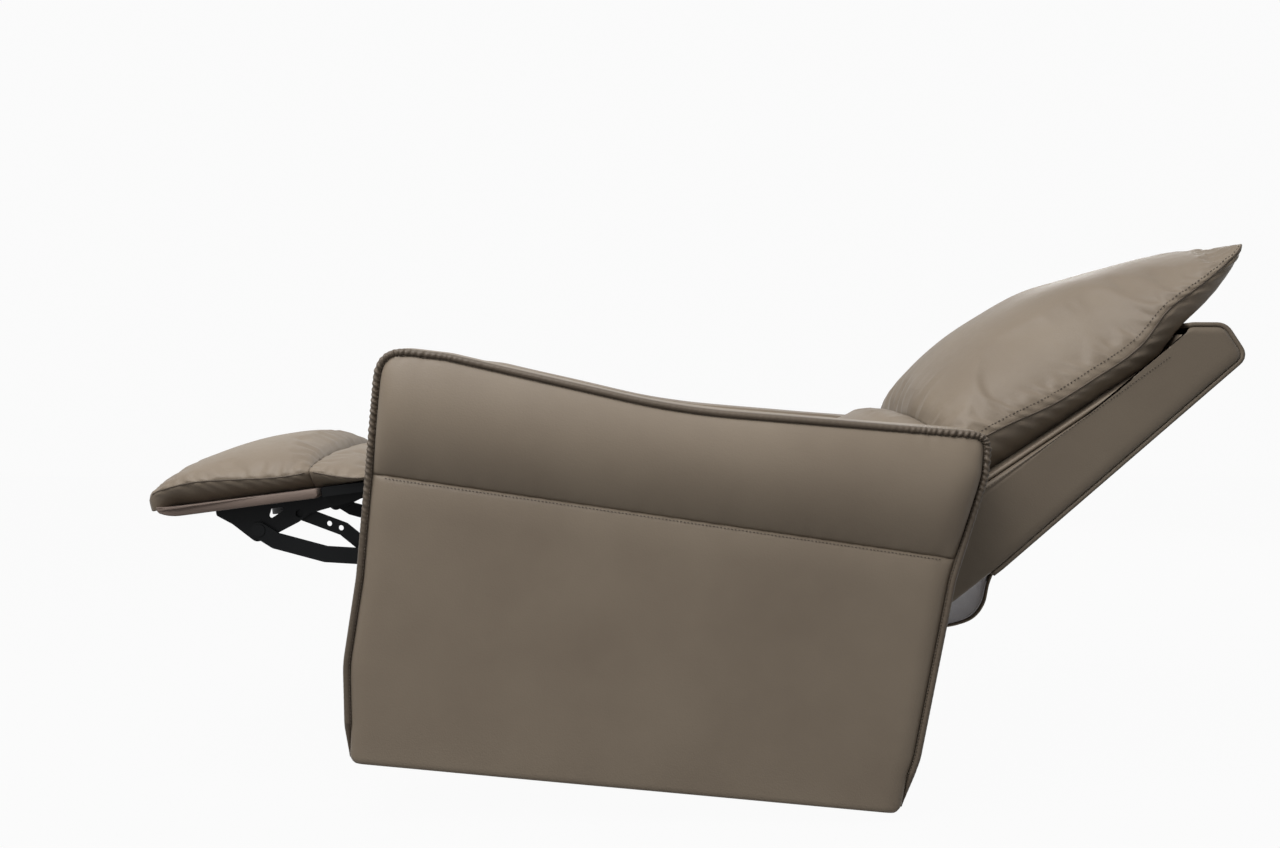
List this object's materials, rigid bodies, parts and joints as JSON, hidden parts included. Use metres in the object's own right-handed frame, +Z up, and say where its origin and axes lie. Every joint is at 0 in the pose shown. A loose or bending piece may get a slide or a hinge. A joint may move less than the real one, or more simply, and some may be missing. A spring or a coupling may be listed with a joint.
{
  "type": "rocking massage chair",
  "caption": "Leather rocking recliner with padded arms, plump head pillow and lumbar pad, powered folding footrest, sprung rocker base and vibration motors.",
  "frame": {"origin": "on the floor under the middle of the base, at the centre glide", "axes": "+Z up, the sitter faces -Y, +X to the sitter's left"},
  "size_m": [0.79, 1.6098, 0.8046],
  "materials": {
    "leather": "soft semi-gloss grained leather",
    "welt_leather": "leather welt with topstitch",
    "steel_black": "black powder coat",
    "spring_steel": "bare spring steel",
    "timber": "raw timber and plywood",
    "lining": "grey non-woven cloth",
    "plastic_black": "black moulded plastic",
    "motor_can": "grey painted can"
  },
  "bodies": {
    "base": {"base_runners": "steel_black", "base_rails": "steel_black", "base_glides": "plastic_black", "spring_feet": "steel_black", "rocker_springs": "spring_steel"},
    "back": {"back_side_rails": "timber", "back_hinges": "steel_black", "back_cross_rails": "timber", "back_springs": "spring_steel", "back_massagers": "motor_can", "back_cover": "leather", "back_deck": "lining", "back_skirt": "leather", "back_lining": "lining", "back_side_cover_left": "leather", "back_side_cover_right": "leather", "lumbar_cushion": "leather", "head_pillow": "leather"},
    "lift": {"lift_arms": "steel_black", "torque_tube": "steel_black", "drive_crank": "steel_black"},
    "guide": {"guide_links": "steel_black"},
    "lower": {"lower_links": "steel_black"},
    "upper": {"upper_links": "steel_black"},
    "footrest": {"footrest_brackets": "steel_black", "footrest_board": "leather", "calf_board": "leather", "foot_pad": "leather", "calf_pad": "leather", "footrest_massagers": "motor_can"},
    "nut": {"drive_nut": "plastic_black"},
    "screw": {"drive_screw": "spring_steel"},
    "chassis": {"rocker_cams": "timber", "spring_plates": "steel_black", "cross_tubes": "steel_black", "mechanism_plates": "steel_black", "arm_spacers": "steel_black", "arm_inner_pads": "leather", "arm_frames": "timber", "rear_valance": "leather", "seat_side_rails": "timber", "seat_front_rail": "timber", "seat_rear_rail": "timber", "seat_springs": "spring_steel", "seat_cushion": "leather", "seat_massagers": "motor_can", "control_box": "plastic_black", "power_inlet": "plastic_black", "drive_rail": "steel_black", "drive_motor": "motor_can", "drive_brackets": "steel_black", "arm_boxing_left": "leather", "arm_boxing_right": "leather", "arm_upper_panel_left": "leather", "arm_upper_panel_right": "leather", "arm_lower_panel_left": "leather", "arm_lower_panel_right": "leather", "arm_welt_left": "welt_leather", "arm_welt_right": "welt_leather"}
  },
  "joints": [
    {"name": "rock", "type": "hinge", "parent": "base", "child": "chassis", "pos_m": [0, 0, 0.05], "axis": [1, 0, 0], "range_deg": [0, 10.5], "stiffness_Nm_per_rad": 300, "deforming": ["rocker_springs"]},
    {"name": "recline", "type": "hinge", "parent": "chassis", "child": "back", "pos_m": [0, 0.25826, 0.29239], "axis": [1, 0, 0], "range_deg": [0, 28]},
    {"name": "footrest_fold", "type": "hinge", "parent": "chassis", "child": "lift", "pos_m": [0, -0.11877, 0.34209], "axis": [1, 0, 0], "range_deg": [0, 82.77]},
    {"name": "guide_turn", "type": "hinge", "parent": "chassis", "child": "guide", "pos_m": [0, -0.07758, 0.29352], "axis": [1, 0, 0], "range_deg": [0, 82.07]},
    {"name": "lower_turn", "type": "hinge", "parent": "lift", "child": "lower", "pos_m": [0, -0.34385, 0.34068], "axis": [1, 0, 0], "range_deg": [-131.76, 0]},
    {"name": "upper_turn", "type": "hinge", "parent": "lift", "child": "upper", "pos_m": [0, -0.28144, 0.34107], "axis": [1, 0, 0], "range_deg": [-120.73, 0]},
    {"name": "footrest_turn", "type": "hinge", "parent": "lower", "child": "footrest", "pos_m": [0, -0.53294, 0.38115], "axis": [1, 0, 0], "range_deg": [0, 126.3]},
    {"name": "nut_slide", "type": "slide", "parent": "chassis", "child": "nut", "axis": [0, 0.9958, -0.0915], "range_m": [0, 0.07933]},
    {"name": "screw_turn", "type": "hinge", "parent": "chassis", "child": "screw", "pos_m": [0, 0.01848, 0.25115], "axis": [0, 0.9958, -0.0915], "range_deg": [0, 3600]}
  ],
  "couplings": [
    {"joint": "guide_turn", "follows": "footrest_fold", "ratio": 0.99157},
    {"joint": "lower_turn", "follows": "footrest_fold", "ratio": -1.592},
    {"joint": "upper_turn", "follows": "footrest_fold", "ratio": -1.4587},
    {"joint": "footrest_turn", "follows": "footrest_fold", "ratio": 1.526},
    {"joint": "nut_slide", "follows": "footrest_fold", "m_per_rad": 0.054917},
    {"joint": "screw_turn", "follows": "footrest_fold", "ratio": 43.497}
  ]
}
